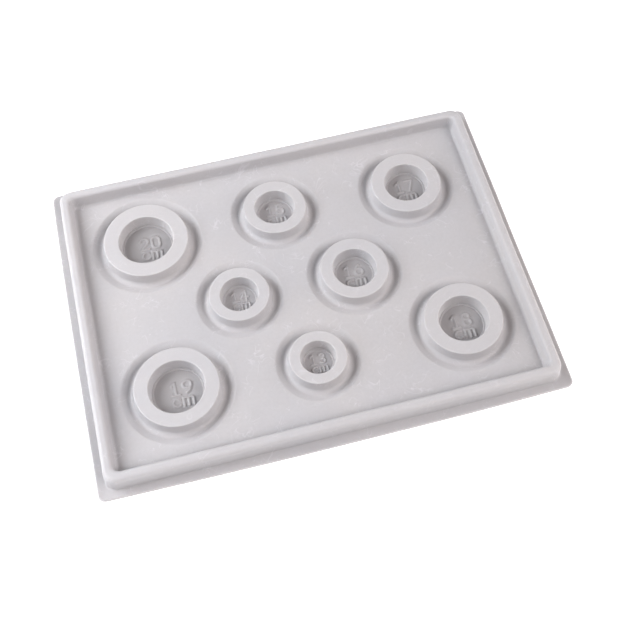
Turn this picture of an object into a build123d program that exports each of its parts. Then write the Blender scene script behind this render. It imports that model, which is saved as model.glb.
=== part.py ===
from build123d import *
import math
import os

# Silicone casting mould for a bead-and-bracelet sizing board.
#
# The object is a shallow tray: a flat flange runs round a rounded rim, and eight
# ring cores stand on the tray floor. Each core stands in a shallow dish and holds a
# round well with a raised size mark on its floor.
#
# Frame: X along the length, Y along the width, +Z up. The origin is at the centre
# of the flat underside. All sizes are in millimetres.

os.makedirs("parts", exist_ok=True)

# Overall size
LENGTH = 345.0
WIDTH = 260.0
HEIGHT = 16.0

# Flange, which lies flat on the table all the way round
FLANGE_THICKNESS = 2.0
FLANGE_CORNER_R = 5.0
FLANGE_EDGE_R = 0.8

# Rim, placed by its offset inwards from the flange's edge
RIM_OUTER_FOOT = 6.6
RIM_OUTER_TOP = 7.7
RIM_INNER_TOP = 14.6
RIM_INNER_FOOT = 16.6
RIM_OUTER_CORNER_R = 9.0
RIM_INNER_CORNER_R = 4.0
RIM_TOP_ROUND = 2.8
RIM_FOOT_ROUND = 1.0

# Tray floor, and the sloping side of the dish round each ring core
FLOOR_Z = 5.0
FLOOR_CORNER_ROUND = 2.0
DISH_WIDTH = 10.6
DISH_EDGE_ROUND = 3.0
DISH_MARGIN = 0.9

# Ring cores. The outside of a core is the marked length round, with an allowance.
# Its foot is where the core's wall and the dish's side would meet if not rounded.
CORE_TOP_Z = 12.4
CORE_ALLOWANCE = 1.015
CORE_FOOT_Z = 0.4
CORE_DRAFT = 1.9
CORE_FOOT_ROUND = 3.0
CORE_EDGE_ROUND = 0.7

# Wells. The ledge runs round the foot of the well's wall.
WELL_Z = 1.5
WELL_DRAFT = 1.3
WELL_EDGE_ROUND = 0.7
LEDGE_WIDTH = 1.3
LEDGE_HEIGHT = 0.6
LEDGE_EDGE_ROUND = 0.3

# Edges within this distance of a height count as lying at that height
SAME_HEIGHT = 0.01

# Size marks, drawn with one pen width in letters of one unit's height
MARK_HEIGHT = 0.8
MARK_UNIT_MAX = 10.0
MARK_PEN = 0.17
MARK_DIGIT_WIDTH = 0.6
MARK_GAP = 0.3
MARK_LINE_GAP = 0.3
MARK_LETTER_HEIGHT = 0.62
MARK_M_WIDTH = 0.72
MARK_CLEARANCE = 0.4
MARK_HALF_WIDTH = MARK_DIGIT_WIDTH + MARK_GAP / 2.0
MARK_HALF_DEPTH = (1.0 + MARK_LINE_GAP + MARK_LETTER_HEIGHT) / 2.0

# Each ring: marked size in cm, centre x and y, well diameter at the top, and how
# far the mark sits from the centre of its well in x and y
RINGS = [
    (13, -1.2, -65.4, 26.3, 0.0, -0.3),
    (14, -45.6, -0.1, 28.7, 0.2, -0.4),
    (15, -2.3, 68.7, 30.9, 0.3, -0.5),
    (16, 43.7, -0.2, 33.0, 0.0, -1.0),
    (17, 103.3, 64.6, 34.4, 0.0, -1.4),
    (18, 109.7, -62.2, 37.1, 0.0, -1.5),
    (19, -104.6, -62.1, 40.9, 2.4, -2.0),
    (20, -105.1, 64.9, 41.9, 2.2, -2.1),
]


def core_radius(size):
    """Outside radius of a ring core at its top, from its marked length round in cm."""
    return CORE_ALLOWANCE * size * 10.0 / math.pi / 2.0


def floor_radius(well_diameter):
    """Radius of the flat well floor inside the ledge."""
    return well_diameter / 2.0 - WELL_DRAFT - LEDGE_WIDTH


def wall_slab(foot, top, corner_r, z0, z1):
    """Rounded rectangular block whose sides lean in from offset foot to offset top."""
    outline = RectangleRounded(LENGTH - 2 * foot, WIDTH - 2 * foot, corner_r)
    lean = math.degrees(math.atan((top - foot) / (z1 - z0)))
    return Pos(0, 0, z0) * extrude(outline, amount=z1 - z0, taper=lean)


def edges_at(part, z):
    """Edges that lie flat at one height."""
    return part.edges().filter_by_position(Axis.Z, z - SAME_HEIGHT, z + SAME_HEIGHT)


def tray():
    """Flange, rim and flat floor, as one block with the cavity taken out."""
    flange_outline = RectangleRounded(LENGTH, WIDTH, FLANGE_CORNER_R)
    flange = extrude(flange_outline, amount=FLANGE_THICKNESS)
    flange = fillet(edges_at(flange, FLANGE_THICKNESS), FLANGE_EDGE_R)
    rim = wall_slab(RIM_OUTER_FOOT, RIM_OUTER_TOP, RIM_OUTER_CORNER_R, FLANGE_THICKNESS, HEIGHT)
    rim = fillet(edges_at(rim, HEIGHT), RIM_TOP_ROUND)
    body = flange + rim
    foot_edges = [e for e in edges_at(body, FLANGE_THICKNESS) if is_rim_foot(e)]
    body = fillet(foot_edges, RIM_FOOT_ROUND)
    cavity = cavity_tool()
    body = body - cavity
    inner_lip = [e for e in edges_at(body, HEIGHT) if is_inner_lip(e)]
    return fillet(inner_lip, RIM_TOP_ROUND)


def offset_of(edge):
    """How far an edge's middle lies inside the nearest straight side of the flange."""
    middle = edge @ 0.5
    return min(LENGTH / 2.0 - abs(middle.X), WIDTH / 2.0 - abs(middle.Y))


def is_rim_foot(edge):
    """True for an edge along the foot of the rim's outer wall."""
    return offset_of(edge) > RIM_OUTER_FOOT / 2.0


def is_inner_lip(edge):
    """True for an edge along the top of the rim's inner wall."""
    return offset_of(edge) > (RIM_OUTER_TOP + RIM_INNER_TOP) / 2.0


def cavity_tool():
    """Space inside the rim, widening upwards, with a rounded foot."""
    widening = RIM_INNER_FOOT - RIM_INNER_TOP
    outline = RectangleRounded(
        LENGTH - 2 * RIM_INNER_TOP, WIDTH - 2 * RIM_INNER_TOP, RIM_INNER_CORNER_R + widening
    )
    depth = HEIGHT - FLOOR_Z
    lean = math.degrees(math.atan(widening / depth))
    tool = Pos(0, 0, HEIGHT) * extrude(outline, amount=depth, dir=(0, 0, -1), taper=lean)
    return fillet(edges_at(tool, FLOOR_Z), FLOOR_CORNER_ROUND)


def corner(face, x, y):
    """The corner of a flat outline nearest to a point."""
    return face.vertices().sort_by_distance((x, y, 0))[0]


def station_outline(size, well_diameter):
    """Half section of one ring core, its well and its dish, as radius and height."""
    top_r = core_radius(size)
    foot_r = top_r + CORE_DRAFT
    dish_r = top_r + DISH_WIDTH
    well_r = well_diameter / 2.0
    well_foot_r = well_r - WELL_DRAFT
    flat_r = floor_radius(well_diameter)
    ledge_z = WELL_Z + LEDGE_HEIGHT
    face = make_face(
        Polyline(
            (dish_r + DISH_MARGIN, FLOOR_Z),
            (dish_r, FLOOR_Z),
            (foot_r, CORE_FOOT_Z),
            (top_r, CORE_TOP_Z),
            (well_r, CORE_TOP_Z),
            (well_foot_r, ledge_z),
            (flat_r, ledge_z),
            (flat_r, WELL_Z),
            (0, WELL_Z),
            (0, 0),
            (dish_r + DISH_MARGIN, 0),
            close=True,
        )
    )
    face = fillet(corner(face, dish_r, FLOOR_Z), DISH_EDGE_ROUND)
    face = fillet(corner(face, foot_r, CORE_FOOT_Z), CORE_FOOT_ROUND)
    face = fillet(corner(face, top_r, CORE_TOP_Z), CORE_EDGE_ROUND)
    face = fillet(corner(face, well_r, CORE_TOP_Z), WELL_EDGE_ROUND)
    return fillet(corner(face, flat_r, ledge_z), LEDGE_EDGE_ROUND)


def add_ring(body, size, x, y, well_diameter):
    """Put one ring core and its dish into the tray floor."""
    station_r = core_radius(size) + DISH_WIDTH + DISH_MARGIN
    gap = Cylinder(station_r, FLOOR_Z, align=(Align.CENTER, Align.CENTER, Align.MIN))
    station = revolve(Plane.XZ * station_outline(size, well_diameter), axis=Axis.Z)
    return body - Pos(x, y, 0) * gap + Pos(x, y, 0) * station


def line(x0, y0, x1, y1):
    """One straight pen stroke with round ends, in mark units."""
    start = Vector(x0, y0)
    end = Vector(x1, y1)
    middle = (start + end) / 2.0
    angle = math.degrees(math.atan2(y1 - y0, x1 - x0))
    stroke = SlotCenterToCenter((end - start).length, MARK_PEN)
    return Pos(middle.X, middle.Y) * Rot(0, 0, angle) * stroke


def arc(x, y, radius, start, sweep):
    """One pen stroke along a circular arc, in mark units and degrees."""
    path = CenterArc((x, y), radius, start, sweep)
    return SlotArc(path, MARK_PEN)


def ring(x, y, radius):
    """One closed round pen stroke, in mark units."""
    return Pos(x, y) * (Circle(radius + MARK_PEN / 2.0) - Circle(radius - MARK_PEN / 2.0))


def glyph(name):
    """Strokes of one plain numeral or letter, standing on y = 0 with its left at x = 0."""
    if name == "0":
        sides = [line(0, 0.3, 0, 0.7), line(0.6, 0.3, 0.6, 0.7)]
        return sides + [arc(0.3, 0.7, 0.3, 0, 180), arc(0.3, 0.3, 0.3, 180, 180)]
    if name == "1":
        return [line(0.32, 0, 0.32, 1), line(0.32, 1, 0.08, 0.8), line(0.06, 0, 0.58, 0)]
    if name == "2":
        return [arc(0.3, 0.7, 0.3, -40, 200), line(0.53, 0.507, 0, 0), line(0, 0, 0.6, 0)]
    if name == "3":
        return [arc(0.3, 0.75, 0.25, -90, 240), arc(0.3, 0.25, 0.25, -150, 240)]
    if name == "4":
        sides = [line(0.42, 0, 0.42, 1), line(0.42, 1, 0, 0.32)]
        return sides + [line(0, 0.32, 0.6, 0.32)]
    if name == "5":
        sides = [line(0.52, 1, 0.1, 1), line(0.1, 1, 0.061, 0.529)]
        return sides + [arc(0.28, 0.31, 0.31, -150, 285)]
    if name == "6":
        return [ring(0.3, 0.3, 0.3), arc(0.7, 0.3, 0.7, 118, 62)]
    if name == "7":
        return [line(0, 1, 0.6, 1), line(0.6, 1, 0.2, 0)]
    if name == "8":
        return [ring(0.3, 0.76, 0.24), ring(0.3, 0.27, 0.27)]
    if name == "9":
        return [ring(0.3, 0.7, 0.3), arc(-0.1, 0.7, 0.7, -62, 62)]
    if name == "c":
        return [arc(0.31, 0.31, 0.31, 45, 270)]
    stems = [line(0, 0, 0, 0.62), line(0.36, 0, 0.36, 0.44), line(0.72, 0, 0.72, 0.44)]
    return stems + [arc(0.18, 0.44, 0.18, 0, 180), arc(0.54, 0.44, 0.18, 0, 180)]


def mark_unit(well_diameter, mark_x, mark_y):
    """Height of a numeral, kept small enough for the mark to fit its well floor."""
    reach = math.hypot(MARK_HALF_WIDTH, MARK_HALF_DEPTH) + MARK_PEN / 2.0
    room = floor_radius(well_diameter) - MARK_CLEARANCE - math.hypot(mark_x, mark_y)
    return min(MARK_UNIT_MAX, room / reach)


def size_mark(size, x, y, well_diameter, mark_x, mark_y):
    """Raised size mark: the number of centimetres over the letters cm."""
    first_digit, second_digit = str(size)
    top_row = MARK_LETTER_HEIGHT + MARK_LINE_GAP
    letters = [
        (first_digit, 0.0, top_row),
        (second_digit, MARK_DIGIT_WIDTH + MARK_GAP, top_row),
        ("c", 0.0, 0.0),
        ("m", 2 * MARK_DIGIT_WIDTH + MARK_GAP - MARK_M_WIDTH, 0.0),
    ]
    corner_x = -MARK_HALF_WIDTH
    corner_y = -MARK_HALF_DEPTH
    strokes = [
        Pos(corner_x + left, corner_y + low) * stroke
        for name, left, low in letters
        for stroke in glyph(name)
    ]
    outline = scale(Sketch() + strokes, by=mark_unit(well_diameter, mark_x, mark_y))
    return Pos(x + mark_x, y + mark_y, WELL_Z) * extrude(outline, amount=MARK_HEIGHT)


mould_body = tray()
for size, x, y, well_diameter, mark_x, mark_y in RINGS:
    mould_body = add_ring(mould_body, size, x, y, well_diameter)
    mark = size_mark(size, x, y, well_diameter, mark_x, mark_y)
    export_step(mark, f"parts/size_mark_{size}.step")
export_step(mould_body, "parts/mould_body.step")
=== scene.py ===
import math

import bmesh
import bpy
import numpy as np
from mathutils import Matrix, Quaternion, Vector, noise
from mathutils.geometry import delaunay_2d_cdt


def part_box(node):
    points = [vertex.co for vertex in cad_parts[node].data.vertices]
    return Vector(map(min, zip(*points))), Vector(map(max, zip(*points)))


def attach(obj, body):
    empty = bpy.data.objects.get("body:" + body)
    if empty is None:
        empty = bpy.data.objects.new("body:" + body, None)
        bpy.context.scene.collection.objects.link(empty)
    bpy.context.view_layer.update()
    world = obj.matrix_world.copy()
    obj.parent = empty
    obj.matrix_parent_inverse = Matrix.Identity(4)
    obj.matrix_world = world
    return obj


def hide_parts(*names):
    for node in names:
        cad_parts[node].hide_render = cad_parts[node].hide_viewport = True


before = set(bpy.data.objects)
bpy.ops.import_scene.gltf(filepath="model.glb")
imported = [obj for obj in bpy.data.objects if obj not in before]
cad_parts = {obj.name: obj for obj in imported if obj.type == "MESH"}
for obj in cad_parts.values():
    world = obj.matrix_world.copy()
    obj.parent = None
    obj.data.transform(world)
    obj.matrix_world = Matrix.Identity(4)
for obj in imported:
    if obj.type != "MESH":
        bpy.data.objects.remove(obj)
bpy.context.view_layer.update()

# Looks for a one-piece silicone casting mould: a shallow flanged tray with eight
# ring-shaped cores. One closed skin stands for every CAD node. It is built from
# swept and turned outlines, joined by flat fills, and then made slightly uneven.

# Lengths below are in millimetres, and a mesh turns them into metres
MM = 0.001
LOW, HIGH = (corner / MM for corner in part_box("mould_body"))
HALF_LENGTH = HIGH.x
HALF_WIDTH = HIGH.y
HEIGHT = HIGH.z

# Flange and rim, by their offset inwards from the flange's edge
UNDERSIDE_INSET = 12.0
FLANGE_THICKNESS = 2.0
FLANGE_FOOT_ROUND = 0.35
FLANGE_EDGE_ROUND = 0.8
FLANGE_CORNER_R = 5.0
RIM_OUTER_FOOT = 6.6
RIM_OUTER_TOP = 7.7
RIM_INNER_TOP = 14.6
RIM_INNER_FOOT = 16.6
RIM_OUTER_CORNER_R = 9.0
RIM_INNER_CORNER_R = 4.0
RIM_FOOT_ROUND = 1.0
RIM_TOP_ROUND = 2.8

# Floor, dishes, ring cores and wells
FLOOR_Z = 5.0
FLOOR_CORNER_ROUND = 2.0
DISH_WIDTH = 10.6
DISH_EDGE_ROUND = 3.0
DISH_MARGIN = 0.9
CORE_TOP_Z = 12.4
CORE_ALLOWANCE = 1.015
CORE_FOOT_Z = 0.4
CORE_DRAFT = 1.9
CORE_FOOT_ROUND = 3.0
CORE_EDGE_ROUND = 0.7
WELL_Z = 1.5
WELL_DRAFT = 1.3
WELL_EDGE_ROUND = 0.7
WELL_FOOT_ROUND = 0.3
WELL_FLOOR_INSET = 0.9
LEDGE_WIDTH = 1.3
LEDGE_HEIGHT = 0.6
LEDGE_DRAFT = 0.1
LEDGE_EDGE_ROUND = 0.25
LEDGE_FOOT_ROUND = 0.15

# Marked size in cm: centre of the ring, and the well's diameter at its top
RINGS = {
    13: (-1.2, -65.4, 26.3),
    14: (-45.6, -0.1, 28.7),
    15: (-2.3, 68.7, 30.9),
    16: (43.7, -0.2, 33.0),
    17: (103.3, 64.6, 34.4),
    18: (109.7, -62.2, 37.1),
    19: (-104.6, -62.1, 40.9),
    20: (-105.1, 64.9, 41.9),
}

# Height of the size marks above the well floor, and width of their soft shoulders
MARK_HEIGHT = 0.8
MARK_SOFT = 0.6

# Size marks, in units of a numeral's height
MARK_PEN = 0.17
MARK_DIGIT_WIDTH = 0.6
MARK_GAP = 0.3
MARK_LINE_GAP = 0.3
MARK_LETTER_HEIGHT = 0.62
MARK_M_WIDTH = 0.72
MARK_WIDTH = 2 * MARK_DIGIT_WIDTH + MARK_GAP
MARK_DEPTH = 1.0 + MARK_LINE_GAP + MARK_LETTER_HEIGHT

# Unevenness of the soft moulding; a wave is its height, count round and shift per size
RING_WAVES = ((0.10, 2.0, 1.0), (0.07, 3.0, 2.0))
DRIFT = 0.35
DRIFT_SPREAD = 85.0
DRIFT_LAYERS = (300.0, 600.0, 900.0)
SWELL = 0.16
SWELL_SPREAD = 42.0
SWELL_LAYER = 90.0
SWELL_HEIGHTS = (0.4, 2.8)
FLANGE_LIFT = 0.5
LIFT_RANGE = (-0.1, 0.5)
SIDE_BOW = 0.7
FRONT_BOW = 1.6

# Mesh density; near a mark's edge the well floor has fine points, and elsewhere coarse ones
LONGEST_STEP = 2.4
ROUND_STEP = 18.0
SIDE_STEP = 4.0
CORNER_STEPS = 10
RING_STEPS = 112
FLOOR_STEP = 3.8
FINE_STEP = 0.42
FINE_REACH = 0.55
COARSE_STEP = 1.5
COARSE_CLEARANCE = 0.95
POINTS_INSET = 1.3

# Places where painted shade and painted light change the silicone's colour, in metres: heights, and
# lengths along an outline
LOW_SHADE_HEIGHTS = (0.0022, 0.0040)
WELL_SHADE_HEIGHTS = (0.0030, 0.0050)
TOP_LIGHT_HEIGHTS = (0.0100, 0.0122)
WELL_LENGTHS = (0.040, 0.044)

# Light: colours, strength of the room and glow of the floor
COOL_LIGHT = (0.955, 0.975, 1.0)
WARM_LIGHT = (1.0, 0.96, 0.95)
ROOM_LIGHT = 0.22
FLOOR_GLOW = 0.60

# Soft lights: azimuth, elevation, distance, size, power and colour
LIGHTS = {
    "key": (-110.0, 38.0, 1.15, 0.75, 18.6, COOL_LIGHT),
    "left_card": (-68.0, 28.0, 1.3, 0.75, 7.5, COOL_LIGHT),
    "fill": (50.0, 44.0, 2.6, 1.5, 63.0, WARM_LIGHT),
    "right_card": (90.0, 12.0, 2.6, 1.5, 34.0, WARM_LIGHT),
}

# Camera: focal length, the point it looks at and where it stands, in metres and degrees
CAMERA_LENS = 54.33
CAMERA_AIM = (0.0087, -0.0307, 0.0)
CAMERA_AZIMUTH = -12.35
CAMERA_ELEVATION = 62.82
CAMERA_DISTANCE = 0.7235
CAMERA_ROLL = -2.2


# ---------------------------------------------------------------- outlines

def rounded(corners, support=0.3):
    """Points of an open outline whose corners (across, up, radius) are rounded."""
    points = [np.array(corners[0][:2], float)]
    for before, here, after in zip(corners, corners[1:], corners[2:]):
        middle = np.array(here[:2], float)
        back = np.array(before[:2]) - middle
        ahead = np.array(after[:2]) - middle
        back /= np.linalg.norm(back)
        ahead /= np.linalg.norm(ahead)
        half = math.acos(float(back @ ahead)) / 2.0
        radius = here[2]
        reach = radius / math.tan(half)
        inward = (back + ahead) / np.linalg.norm(back + ahead)
        centre = middle + inward * radius / math.sin(half)
        start = middle + back * reach - centre
        end = middle + ahead * reach - centre
        turn = math.pi - 2.0 * half
        steps = max(2, math.ceil(turn / math.radians(ROUND_STEP)))
        points.append(centre + start + back * support)
        for step in range(steps + 1):
            share = step / steps
            spoke = start * math.sin((1 - share) * turn) + end * math.sin(share * turn)
            points.append(centre + spoke / math.sin(turn))
        points.append(centre + end + ahead * support)
    points.append(np.array(corners[-1][:2], float))
    return subdivided(points)


def subdivided(points):
    """The same open outline with no step longer than the limit."""
    result = [points[0]]
    for start, end in zip(points, points[1:]):
        count = max(1, math.ceil(np.linalg.norm(end - start) / LONGEST_STEP))
        result += [start + (end - start) * (i + 1) / count for i in range(count)]
    return result


def rim_outline():
    """Section of flange and rim, as offset and height, from the underside to the floor."""
    return rounded([
        (UNDERSIDE_INSET, 0.0, 0.0),
        (0.0, 0.0, FLANGE_FOOT_ROUND),
        (0.0, FLANGE_THICKNESS, FLANGE_EDGE_ROUND),
        (RIM_OUTER_FOOT, FLANGE_THICKNESS, RIM_FOOT_ROUND),
        (RIM_OUTER_TOP, HEIGHT, RIM_TOP_ROUND),
        (RIM_INNER_TOP, HEIGHT, RIM_TOP_ROUND),
        (RIM_INNER_FOOT, FLOOR_Z, FLOOR_CORNER_ROUND),
        (RIM_INNER_FOOT + FLOOR_CORNER_ROUND, FLOOR_Z, 0.0),
    ])


def core_radius(size):
    """Outside radius of a ring core at its top."""
    return CORE_ALLOWANCE * size * 10.0 / math.pi / 2.0


def floor_radius(well_diameter):
    """Radius of the flat well floor inside the ledge."""
    return well_diameter / 2.0 - WELL_DRAFT - LEDGE_WIDTH


def ring_outline(size, well_diameter):
    """Section of dish, ring core, well and ledge, as radius and height."""
    top_r = core_radius(size)
    dish_r = top_r + DISH_WIDTH
    well_r = well_diameter / 2.0
    flat_r = floor_radius(well_diameter)
    ledge_z = WELL_Z + LEDGE_HEIGHT
    return rounded([
        (dish_r + DISH_MARGIN, FLOOR_Z, 0.0),
        (dish_r, FLOOR_Z, DISH_EDGE_ROUND),
        (top_r + CORE_DRAFT, CORE_FOOT_Z, CORE_FOOT_ROUND),
        (top_r, CORE_TOP_Z, CORE_EDGE_ROUND),
        (well_r, CORE_TOP_Z, WELL_EDGE_ROUND),
        (well_r - WELL_DRAFT, ledge_z, WELL_FOOT_ROUND),
        (flat_r, ledge_z, LEDGE_EDGE_ROUND),
        (flat_r - LEDGE_DRAFT, WELL_Z, LEDGE_FOOT_ROUND),
        (flat_r - WELL_FLOOR_INSET, WELL_Z, 0.0),
    ], support=0.1)


# ---------------------------------------------------------------- size marks

def line(x0, y0, x1, y1):
    """One straight pen stroke, as a distance function."""
    start = np.array([x0, y0])
    run = np.array([x1, y1]) - start

    def distance(points):
        share = np.clip((points - start) @ run / (run @ run), 0.0, 1.0)
        return np.linalg.norm(points - start - share[:, None] * run, axis=1)

    return distance


def arc(x, y, radius, start, sweep):
    """One pen stroke along a circular arc, in degrees, as a distance function."""
    centre = np.array([x, y])
    ends = [math.radians(start), math.radians(start + sweep)]
    tips = [centre + radius * np.array([math.cos(a), math.sin(a)]) for a in ends]

    def distance(points):
        spokes = points - centre
        angle = np.degrees(np.arctan2(spokes[:, 1], spokes[:, 0]))
        inside = (angle - start) % 360.0 <= sweep
        to_arc = np.abs(np.linalg.norm(spokes, axis=1) - radius)
        to_tips = np.minimum(*[np.linalg.norm(points - tip, axis=1) for tip in tips])
        return np.where(inside, to_arc, to_tips)

    return distance


def glyph(name):
    """Strokes of one plain numeral, c or m, standing on y = 0 with its left at x = 0."""
    if name == "0":
        sides = [line(0, 0.3, 0, 0.7), line(0.6, 0.3, 0.6, 0.7)]
        return sides + [arc(0.3, 0.7, 0.3, 0, 180), arc(0.3, 0.3, 0.3, 180, 180)]
    if name == "1":
        return [line(0.32, 0, 0.32, 1), line(0.32, 1, 0.08, 0.8), line(0.06, 0, 0.58, 0)]
    if name == "2":
        return [arc(0.3, 0.7, 0.3, -40, 200), line(0.53, 0.507, 0, 0), line(0, 0, 0.6, 0)]
    if name == "3":
        return [arc(0.3, 0.75, 0.25, -90, 240), arc(0.3, 0.25, 0.25, -150, 240)]
    if name == "4":
        sides = [line(0.42, 0, 0.42, 1), line(0.42, 1, 0, 0.32)]
        return sides + [line(0, 0.32, 0.6, 0.32)]
    if name == "5":
        sides = [line(0.52, 1, 0.1, 1), line(0.1, 1, 0.061, 0.529)]
        return sides + [arc(0.28, 0.31, 0.31, -150, 285)]
    if name == "6":
        return [arc(0.3, 0.3, 0.3, 0, 360), arc(0.7, 0.3, 0.7, 118, 62)]
    if name == "7":
        return [line(0, 1, 0.6, 1), line(0.6, 1, 0.2, 0)]
    if name == "8":
        return [arc(0.3, 0.76, 0.24, 0, 360), arc(0.3, 0.27, 0.27, 0, 360)]
    if name == "9":
        return [arc(0.3, 0.7, 0.3, 0, 360), arc(-0.1, 0.7, 0.7, -62, 62)]
    if name == "c":
        return [arc(0.31, 0.31, 0.31, 45, 270)]
    stems = [line(0, 0, 0, 0.62), line(0.36, 0, 0.36, 0.44), line(0.72, 0, 0.72, 0.44)]
    return stems + [arc(0.18, 0.44, 0.18, 0, 180), arc(0.54, 0.44, 0.18, 0, 180)]


def mark_distance(size, points):
    """Distance from points, in mark units, to the nearest stroke of a size mark."""
    top_row = MARK_LETTER_HEIGHT + MARK_LINE_GAP
    first_digit, second_digit = str(size)
    letters = [
        (first_digit, 0.0, top_row),
        (second_digit, MARK_DIGIT_WIDTH + MARK_GAP, top_row),
        ("c", 0.0, 0.0),
        ("m", MARK_WIDTH - MARK_M_WIDTH, 0.0),
    ]
    nearest = np.full(len(points), np.inf)
    for name, left, low in letters:
        for stroke in glyph(name):
            nearest = np.minimum(nearest, stroke(points - np.array([left, low])))
    return nearest


def mark_frame(size):
    """Lower left corner of a size mark's strokes, and the height of its numerals."""
    low, high = (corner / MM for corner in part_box(f"size_mark_{size}"))
    unit = (high.y - low.y) / (MARK_DEPTH + MARK_PEN)
    edge = MARK_PEN / 2.0 * unit
    return np.array([low.x + edge, low.y + edge]), unit


def mark_rise(size, points):
    """Height of the raised mark above the well floor at points, with soft shoulders."""
    corner, unit = mark_frame(size)
    distance = mark_distance(size, (points - corner) / unit) * unit
    share = np.clip((MARK_PEN * unit / 2.0 + MARK_SOFT / 2.0 - distance) / MARK_SOFT, 0.0, 1.0)
    return MARK_HEIGHT * share * share * (3.0 - 2.0 * share)


# ---------------------------------------------------------------- skin

class Skin:
    """One growing mesh of points, faces and each point's place along its outline."""

    def __init__(self):
        self.points = []
        self.faces = []
        self.across = []

    def add(self, points, across=0.0):
        """Adds points and returns their numbers."""
        first = len(self.points)
        self.points += [tuple(map(float, point)) for point in points]
        self.across += [across] * len(points)
        return list(range(first, len(self.points)))

    def bridge(self, outer, inner):
        """Joins two closed loops of equal length by four-sided faces."""
        for i in range(len(outer)):
            j = (i + 1) % len(outer)
            self.faces.append((outer[i], outer[j], inner[j], inner[i]))

    def sweep(self, outline, loop):
        """Adds one loop for each outline point and returns the first and last."""
        loops = []
        across = 0.0
        for i, (inwards, height) in enumerate(outline):
            if i:
                across += float(np.linalg.norm(outline[i] - outline[i - 1]))
            loops.append(self.add(loop(inwards, height), across))
        for outer, inner in zip(loops, loops[1:]):
            self.bridge(outer, inner)
        return loops[0], loops[-1]

    def fill(self, outer, holes, inside):
        """Fills flat inside the outer loop, round the holes, through the inside points."""
        numbers = []
        edges = []
        owners = []
        for owner, loop in enumerate([outer] + holes):
            first = len(numbers)
            edges += [(first + i, first + (i + 1) % len(loop)) for i in range(len(loop))]
            numbers += loop
            owners += [owner] * len(loop)
        numbers += inside
        owners += [0] * len(inside)
        flat = [Vector(self.points[n][:2]) for n in numbers]
        _, _, faces, origins, _, _ = delaunay_2d_cdt(flat, edges, [], 0, 1e-7)
        for face in faces:
            corners = [origins[v][0] for v in face]
            around = {owners[corner] for corner in corners}
            if around == {0} or len(around) > 1:
                self.faces.append(tuple(numbers[corner] for corner in corners))


def rim_loop(offset, height):
    """One closed loop of the flange or rim, with the same count of points each time."""
    outer_share = np.interp(offset, [0.0, RIM_OUTER_FOOT], [0.0, 1.0])
    radius = FLANGE_CORNER_R + (RIM_OUTER_CORNER_R - FLANGE_CORNER_R) * outer_share
    inner_share = np.interp(offset, [RIM_OUTER_FOOT, RIM_INNER_FOOT], [0.0, 1.0])
    radius += (RIM_INNER_CORNER_R - RIM_OUTER_CORNER_R) * inner_share
    half_x = HALF_LENGTH - offset - radius
    half_y = HALF_WIDTH - offset - radius
    points = []
    for quarter, (sx, sy) in enumerate([(1, 1), (-1, 1), (-1, -1), (1, -1)]):
        start = quarter * math.pi / 2.0
        for step in range(CORNER_STEPS + 1):
            angle = start + step / CORNER_STEPS * math.pi / 2.0
            x = sx * half_x + radius * math.cos(angle)
            y = sy * half_y + radius * math.sin(angle)
            points.append((x, y, height))
        run = 2.0 * (HALF_LENGTH if quarter in (0, 2) else HALF_WIDTH)
        count = round(run / SIDE_STEP)
        x, y, _ = points[-1]
        dx = -2.0 * sx * half_x if quarter in (0, 2) else 0.0
        dy = 0.0 if quarter in (0, 2) else -2.0 * sy * half_y
        points += [(x + dx * i / count, y + dy * i / count, height) for i in range(1, count)]
    return points


def ring_loop(size, x, y):
    """A function that gives one slightly uneven circle of a ring core."""
    def loop(radius, height):
        points = []
        for step in range(RING_STEPS):
            angle = 2.0 * math.pi * step / RING_STEPS
            waves = [high * math.sin(count * angle + shift * size) for high, count, shift in RING_WAVES]
            reach = radius + sum(waves)
            points.append((x + reach * math.cos(angle), y + reach * math.sin(angle), height))
        return points
    return loop


def hexagonal(low, high, step):
    """Evenly spread points over a rectangle."""
    rows = math.ceil((high[1] - low[1]) / (step * math.sqrt(0.75)))
    columns = math.ceil((high[0] - low[0]) / step)
    return np.array([
        (low[0] + (column + row % 2 / 2.0) * step, low[1] + row * step * math.sqrt(0.75))
        for row in range(rows + 1)
        for column in range(columns + 1)
    ])


def add_floor(skin, rim, dishes):
    """Fills the tray floor between the rim and the eight dishes."""
    inset = RIM_INNER_FOOT + FLOOR_CORNER_ROUND
    half = np.array([HALF_LENGTH - inset, HALF_WIDTH - inset])
    points = hexagonal(-half, half, FLOOR_STEP)
    gap = FLOOR_STEP * 0.6
    clear = np.all(np.abs(points) < half - gap, axis=1)
    for size, (x, y, _) in RINGS.items():
        reach = core_radius(size) + DISH_WIDTH + DISH_MARGIN + gap
        clear &= np.hypot(points[:, 0] - x, points[:, 1] - y) > reach
    inside = skin.add([(x, y, FLOOR_Z) for x, y in points[clear]])
    skin.fill(rim, dishes, inside)


def add_well_floor(skin, size, loop, across):
    """Fills a well floor and raises its size mark."""
    x, y, well_diameter = RINGS[size]
    reach = floor_radius(well_diameter) - POINTS_INSET
    corner, unit = mark_frame(size)

    def from_edge(points):
        distance = mark_distance(size, (points - corner) / unit) * unit
        return np.abs(distance - MARK_PEN * unit / 2.0)

    fine = hexagonal((x - reach, y - reach), (x + reach, y + reach), FINE_STEP)
    coarse = hexagonal((x - reach, y - reach), (x + reach, y + reach), COARSE_STEP)
    near = fine[from_edge(fine) < FINE_REACH]
    far = coarse[from_edge(coarse) > COARSE_CLEARANCE]
    points = np.vstack([near, far])
    points = points[np.hypot(points[:, 0] - x, points[:, 1] - y) < reach]
    rise = mark_rise(size, points)
    skin.fill(loop, [], skin.add(np.column_stack([points, WELL_Z + rise]), across))


def ramp(value, low, high):
    """Smooth step from 0 at low to 1 at high."""
    share = np.clip((value - low) / (high - low), 0.0, 1.0)
    return share * share * (3.0 - 2.0 * share)


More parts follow.
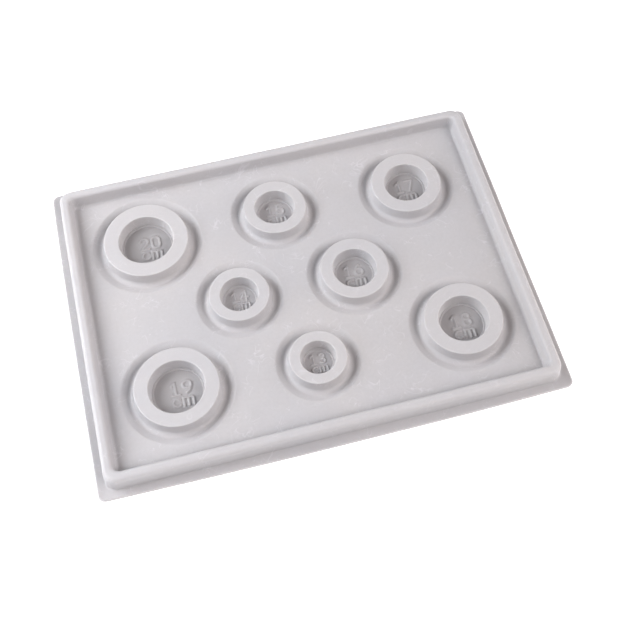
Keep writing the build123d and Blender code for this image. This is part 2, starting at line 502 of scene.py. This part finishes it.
def field(x, y, layer, spread):
    """Smooth noise between about -1 and 1 at places on one layer, the same on every run."""
    return np.array([noise.noise(Vector((a, b, layer)) / spread) for a, b in zip(x, y)])


def flexed(points):
    """Points moved by the slight unevenness of a soft moulding at rest on a table."""
    x, y, z = points.T
    foot_x = HALF_LENGTH - RIM_OUTER_FOOT
    foot_y = HALF_WIDTH - RIM_OUTER_FOOT
    front = ramp(-y, foot_y, HALF_WIDTH)
    left = ramp(-x, foot_x, HALF_LENGTH)
    outside = np.maximum(ramp(np.abs(x), foot_x, HALF_LENGTH), ramp(np.abs(y), foot_y, HALF_WIDTH))
    drift = np.array([field(x, y, layer, DRIFT_SPREAD) for layer in DRIFT_LAYERS]).T
    swell = field(x, y, SWELL_LAYER, SWELL_SPREAD)
    moved = points.copy()
    moved[:, 0] += DRIFT * drift[:, 0] - left * SIDE_BOW * (0.5 - (y / HALF_WIDTH) ** 2)
    moved[:, 1] += DRIFT * drift[:, 1] - front * FRONT_BOW * (0.5 - (x / HALF_LENGTH) ** 2)
    moved[:, 2] += SWELL * swell * ramp(z, *SWELL_HEIGHTS)
    moved[:, 2] += FLANGE_LIFT * outside * ramp(drift[:, 2], *LIFT_RANGE)
    return moved


def build_skin():
    """The whole moulding as one closed mesh."""
    skin = Skin()
    underside, rim = skin.sweep(rim_outline(), rim_loop)
    skin.fill(underside, [], [])
    dishes = []
    for size, (x, y, well_diameter) in RINGS.items():
        outline = ring_outline(size, well_diameter)
        dish, well = skin.sweep(outline, ring_loop(size, x, y))
        dishes.append(dish)
        add_well_floor(skin, size, well, skin.across[well[0]])
    add_floor(skin, rim, dishes)
    mesh = bpy.data.meshes.new("mould_skin")
    points = flexed(np.array(skin.points)) * MM
    mesh.from_pydata([tuple(point) for point in points], [], skin.faces)
    across = mesh.attributes.new("across", "FLOAT", "POINT")
    across.data.foreach_set("value", np.array(skin.across, np.float32) * MM)
    shape = bmesh.new()
    shape.from_mesh(mesh)
    bmesh.ops.recalc_face_normals(shape, faces=shape.faces)
    shape.to_mesh(mesh)
    shape.free()
    for polygon in mesh.polygons:
        polygon.use_smooth = True
    skin_object = bpy.data.objects.new("mould_skin", mesh)
    bpy.context.scene.collection.objects.link(skin_object)
    return skin_object


# ---------------------------------------------------------------- materials

class Shader:
    """A material whose nodes are added and linked in one call each."""

    def __init__(self, name):
        self.material = bpy.data.materials.new(name)
        self.material.use_nodes = True
        self.tree = self.material.node_tree
        self.tree.nodes.clear()

    def add(self, kind, inputs=None, **settings):
        """Adds a node, sets or links its inputs and returns its first output."""
        node = self.tree.nodes.new("ShaderNode" + kind)
        for name, value in settings.items():
            setattr(node, name, value)
        for key, value in (inputs or {}).items():
            if isinstance(value, bpy.types.NodeSocket):
                self.tree.links.new(value, node.inputs[key])
            else:
                node.inputs[key].default_value = value
        return node.outputs[0] if node.outputs else None

    def math(self, operation, *values):
        """A math node with its values in order."""
        return self.add("Math", dict(enumerate(values)), operation=operation)

    def noise(self, vector, scale, detail=2.0, roughness=0.5, distortion=0.0):
        """Smooth noise between about 0 and 1."""
        inputs = {"Vector": vector, "Scale": scale, "Detail": detail}
        inputs.update({"Roughness": roughness, "Distortion": distortion})
        return self.add("TexNoise", inputs)

    def span(self, value, low, high, to_low=0.0, to_high=1.0):
        """Value moved from one range to another and clamped."""
        inputs = {"Value": value, "From Min": low, "From Max": high}
        inputs.update({"To Min": to_low, "To Max": to_high})
        return self.add("MapRange", inputs)

    def mix(self, share, first, second):
        """Blend of two colours."""
        node = self.tree.nodes.new("ShaderNodeMix")
        node.data_type = "RGBA"
        for key, value in ((0, share), (6, first), (7, second)):
            if isinstance(value, bpy.types.NodeSocket):
                self.tree.links.new(value, node.inputs[key])
            else:
                node.inputs[key].default_value = value
        return node.outputs[2]


def silicone():
    """Milky grey silicone: soft mottling, fine short scratches, streaks round the walls, painted shade
    low down and painted light high up.
    """
    shader = Shader("milky_silicone")
    place = shader.add("TexCoord").node.outputs["Object"]
    axes = shader.add("SeparateXYZ", {0: place}).node
    across = shader.add("Attribute", attribute_name="across").node.outputs["Fac"]

    # Hairline scratches are short level lines of a fine noise, kept only in patches
    scratches = 0.0
    for scale, seed in ((52.0, 0.0), (88.0, 3.7)):
        shifted = shader.add("VectorMath", {0: place, 1: (seed, seed, seed)}, operation="ADD")
        level = shader.noise(shifted, scale, 2.0, 0.6, 0.8)
        gap = shader.math("ABSOLUTE", shader.math("SUBTRACT", level, 0.5))
        thread = shader.span(gap, 0.0, 0.015, 1.0, 0.0)
        patch = shader.span(shader.noise(shifted, scale * 1.1, 1.0), 0.53, 0.66)
        scratches = shader.math("ADD", scratches, shader.math("MULTIPLY", thread, patch))

    # Streaks run round the rim and the ring cores
    drawn_out = shader.math("MULTIPLY", across, 9.0)
    streaks = {0: axes.outputs[0], 1: axes.outputs[1], 2: drawn_out}
    streaks = shader.noise(shader.add("CombineXYZ", streaks), 60.0, 3.0, 0.6)

    cloud = shader.noise(place, 9.0, 3.0, 0.55)
    speckle = shader.noise(place, 420.0, 2.0, 0.6)
    cool = (0.392, 0.384, 0.400, 1.0)
    warm = (0.408, 0.392, 0.398, 1.0)
    colour = shader.mix(shader.span(cloud, 0.35, 0.65), cool, warm)
    dull = (0.352, 0.340, 0.346, 1.0)
    colour = shader.mix(shader.span(streaks, 0.52, 0.75, 0.0, 0.25), colour, dull)
    colour = shader.mix(shader.span(speckle, 0.35, 0.7, 0.0, 0.30), colour, dull)

    # Painted shade: low parts are greyer, partly the look of thinner translucent silicone, partly
    # shade in grooves; well floors are thinnest, get the darkest painted shade and have no scratches
    height = axes.outputs[2]
    low_shade = (0.372, 0.356, 0.364, 1.0)
    colour = shader.mix(shader.span(height, *LOW_SHADE_HEIGHTS, 0.35, 0.0), colour, low_shade)
    pale = (0.50, 0.49, 0.51, 1.0)
    colour = shader.mix(shader.span(scratches, 0.0, 1.0, 0.0, 0.62), colour, pale)
    # Painted shade on the well floors, the deepest recesses, partly the look of the thinnest silicone
    inside_well = shader.span(across, *WELL_LENGTHS)
    low_down = shader.span(height, *WELL_SHADE_HEIGHTS, 1.0, 0.0)
    well_shade = (0.280, 0.269, 0.274, 1.0)
    colour = shader.mix(shader.math("MULTIPLY", inside_well, low_down), colour, well_shade)
    # Painted light: the high rim and ring core tops are whiter, partly the look of thicker silicone
    top_light = (0.428, 0.417, 0.427, 1.0)
    colour = shader.mix(shader.span(height, *TOP_LIGHT_HEIGHTS, 0.0, 0.4), colour, top_light)

    grain = shader.math("MULTIPLY", speckle, 0.10)
    relief = shader.math("ADD", grain, shader.math("MULTIPLY", scratches, 0.06))
    relief = shader.math("ADD", relief, shader.math("MULTIPLY", streaks, 0.14))
    bump = shader.add("Bump", {"Height": relief, "Strength": 0.4, "Distance": 0.0004})
    surface = shader.add("BsdfPrincipled", {
        "Base Color": colour,
        "Roughness": shader.span(cloud, 0.3, 0.7, 0.42, 0.55),
        "IOR": 1.41,
        "Specular IOR Level": 0.45,
        "Subsurface Weight": 0.8,
        "Subsurface Radius": (1.0, 0.92, 0.86),
        "Subsurface Scale": 0.002,
        "Normal": bump,
    })
    shader.add("OutputMaterial", {"Surface": surface})
    return shader.material


def studio_white():
    """Plain white studio floor with a faint soft grain."""
    shader = Shader("studio_white")
    place = shader.add("TexCoord").node.outputs["Object"]
    grain = shader.span(shader.noise(place, 3.0, 2.0), 0.3, 0.7, 0.57, 0.59)
    colour = shader.add("CombineColor", {0: grain, 1: grain, 2: grain})
    surface = shader.add("BsdfPrincipled", {
        "Base Color": colour,
        "Roughness": 0.9,
        "Specular IOR Level": 0.1,
        "Emission Color": (1.0, 1.0, 1.0, 1.0),
        "Emission Strength": FLOOR_GLOW,
    })
    shader.add("OutputMaterial", {"Surface": surface})
    return shader.material


# ---------------------------------------------------------------- studio

def direction(azimuth, elevation):
    """Unit vector towards a place round the object; azimuth 0 is in front, 90 is right."""
    a = math.radians(azimuth)
    e = math.radians(elevation)
    return Vector((math.sin(a) * math.cos(e), -math.cos(a) * math.cos(e), math.sin(e)))


def add_area_light(name, azimuth, elevation, distance, size, power, colour):
    """Square soft light that faces the object's centre."""
    data = bpy.data.lights.new(name, "AREA")
    data.shape = "SQUARE"
    data.size = size
    data.energy = power
    data.color = colour
    light = bpy.data.objects.new(name, data)
    towards = direction(azimuth, elevation)
    light.location = towards * distance
    light.rotation_mode = "QUATERNION"
    light.rotation_quaternion = (-towards).to_track_quat("-Z", "Y")
    bpy.context.scene.collection.objects.link(light)


def add_camera():
    """Camera at the object's usual catalogue view: high, in front and a little left."""
    data = bpy.data.cameras.new("camera")
    data.sensor_width = 36.0
    data.lens = CAMERA_LENS
    data.clip_start = 0.01
    data.clip_end = 20.0
    camera = bpy.data.objects.new("camera", data)
    back = direction(CAMERA_AZIMUTH, CAMERA_ELEVATION)
    camera.location = Vector(CAMERA_AIM) + back * CAMERA_DISTANCE
    camera.rotation_mode = "QUATERNION"
    roll = Quaternion((0.0, 0.0, 1.0), math.radians(CAMERA_ROLL))
    camera.rotation_quaternion = (-back).to_track_quat("-Z", "Y") @ roll
    bpy.context.scene.collection.objects.link(camera)
    bpy.context.scene.camera = camera


def add_studio():
    """Floor, world and lights."""
    bpy.ops.mesh.primitive_plane_add(size=12.0, location=(0.0, 0.0, -0.0002))
    floor = bpy.context.object
    floor.name = "studio_floor"
    floor.data.materials.append(studio_white())
    world = bpy.data.worlds.new("soft_room")
    world.use_nodes = True
    background = world.node_tree.nodes["Background"]
    background.inputs["Color"].default_value = WARM_LIGHT + (1.0,)
    # The lens sees a white backdrop past the floor, while the room itself lights only dimly
    seen = world.node_tree.nodes.new("ShaderNodeLightPath")
    strength = world.node_tree.nodes.new("ShaderNodeMapRange")
    strength.inputs["To Min"].default_value = ROOM_LIGHT
    world.node_tree.links.new(seen.outputs["Is Camera Ray"], strength.inputs["Value"])
    world.node_tree.links.new(strength.outputs["Result"], background.inputs["Strength"])
    bpy.context.scene.world = world
    for name, values in LIGHTS.items():
        add_area_light(name, *values)
    bpy.context.scene.view_settings.view_transform = "Standard"


skin_object = build_skin()
skin_object.data.materials.append(silicone())
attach(skin_object, "root")
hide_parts("mould_body", *[f"size_mark_{size}" for size in RINGS])
add_studio()
add_camera()
